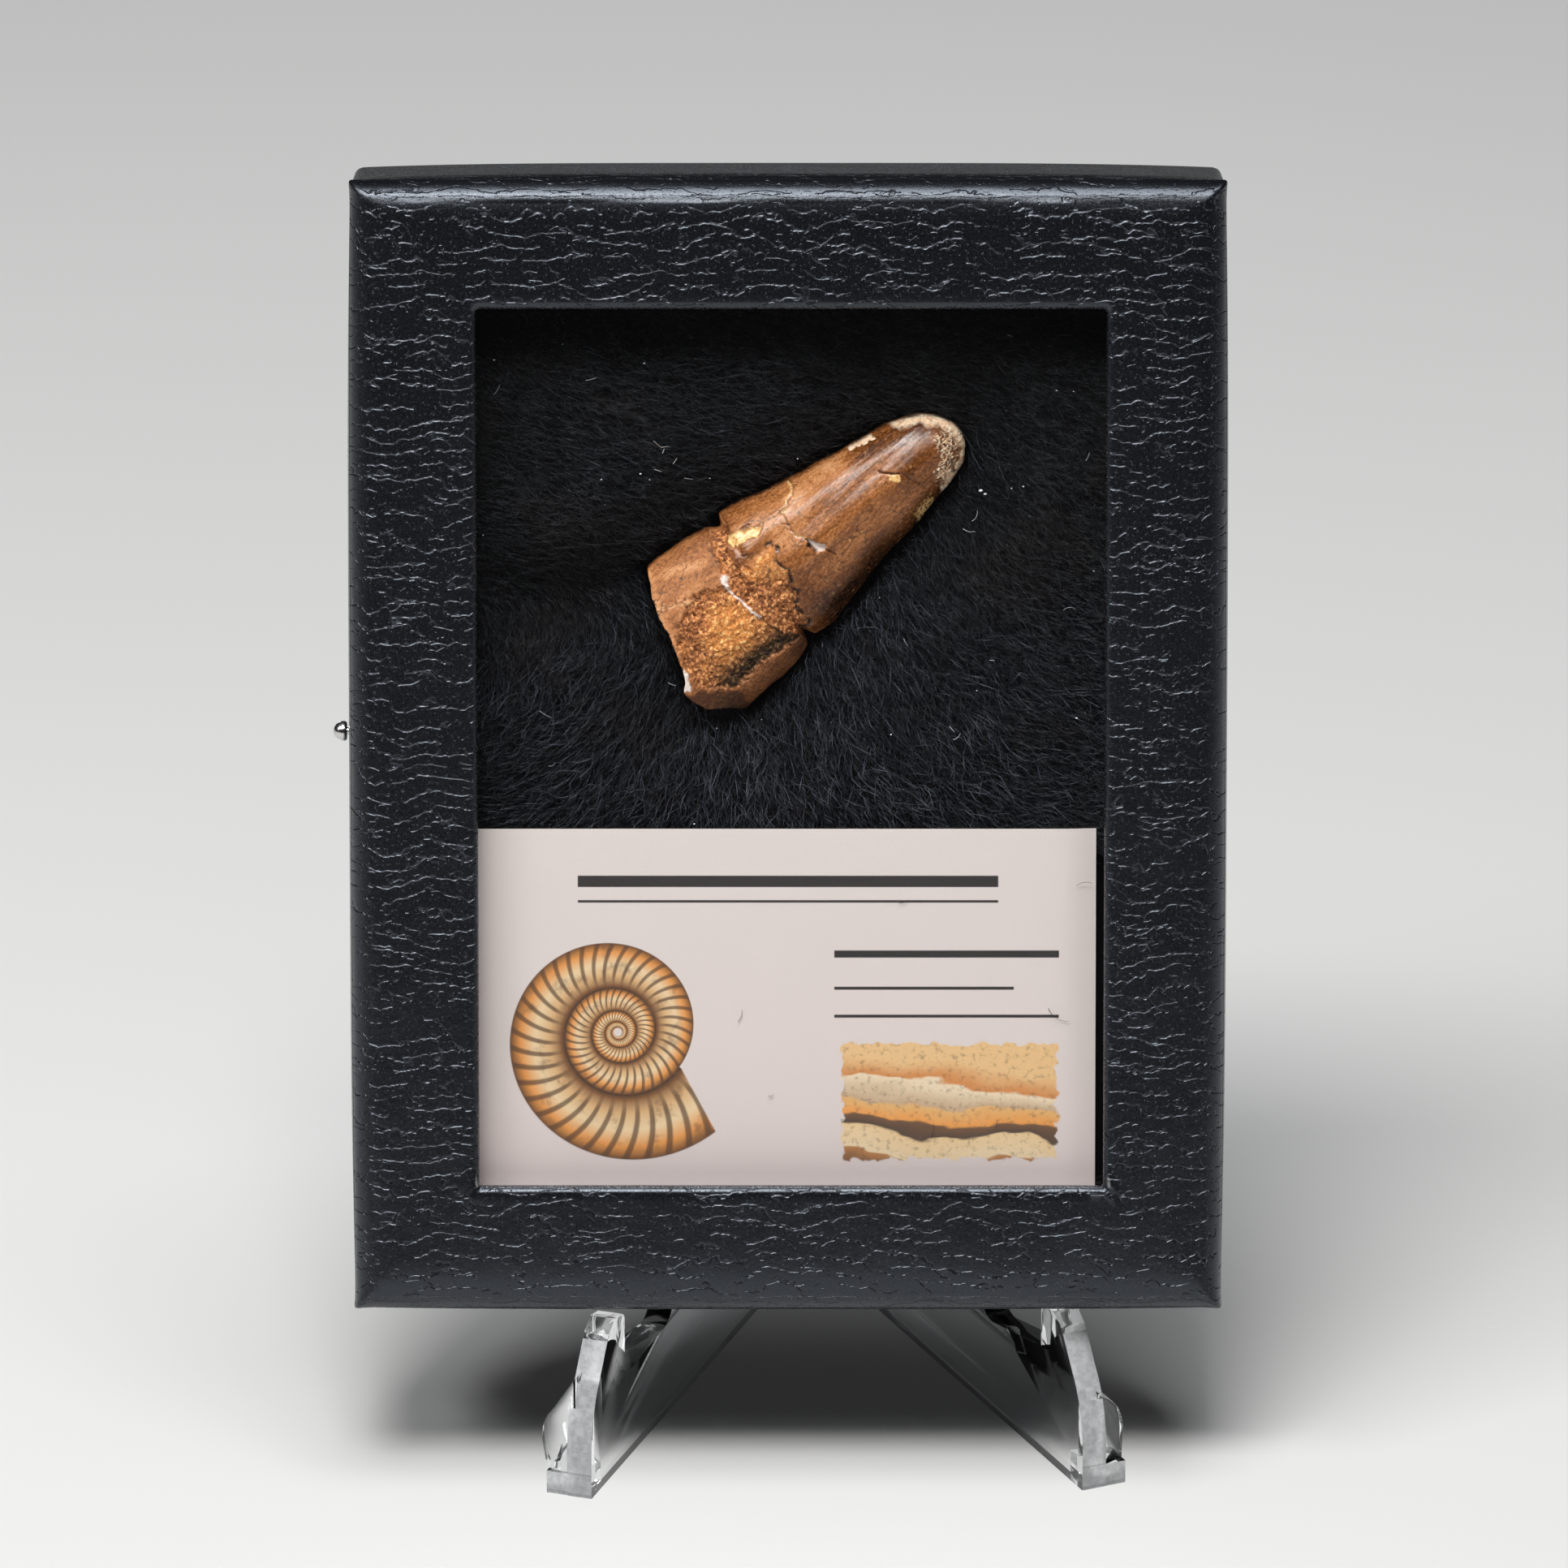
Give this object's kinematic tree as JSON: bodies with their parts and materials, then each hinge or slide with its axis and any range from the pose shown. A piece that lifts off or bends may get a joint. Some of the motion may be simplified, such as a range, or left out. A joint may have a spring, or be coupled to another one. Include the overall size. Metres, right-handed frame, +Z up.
{
  "type": "fossil tooth in display box",
  "caption": "Fossil tooth crown with a glued break, on black pile behind the glass of a wrapped lift-off display box that leans on a clear slotted easel.",
  "frame": {"origin": "centre of the bounding box's base, on the surface that the easel stands on", "axes": "+Z up; the glass faces -Y; +X to the right as seen from the front"},
  "size_m": [0.085, 0.0734, 0.1231],
  "materials": {
    "fossil": "glossy brown enamel over pitted ochre dentine",
    "leatherette": "embossed crackle grain, semi-gloss",
    "window_glass": "clear float glass",
    "tray_wrap": "fine grain, satin",
    "pile": "short black pile with a blue-grey sheen",
    "card": "matt printed card",
    "pin_steel": "polished",
    "acrylic": "clear, frosted on the cut front edges"
  },
  "bodies": {
    "root": {"fossil_tooth": "fossil", "lid": "leatherette", "glass_pane": "window_glass", "base_tray": "tray_wrap", "fur_lining": "pile", "label_card": "card", "pin": "pin_steel", "easel_plate_left": "acrylic", "easel_plate_right": "acrylic"}
  },
  "joints": []
}
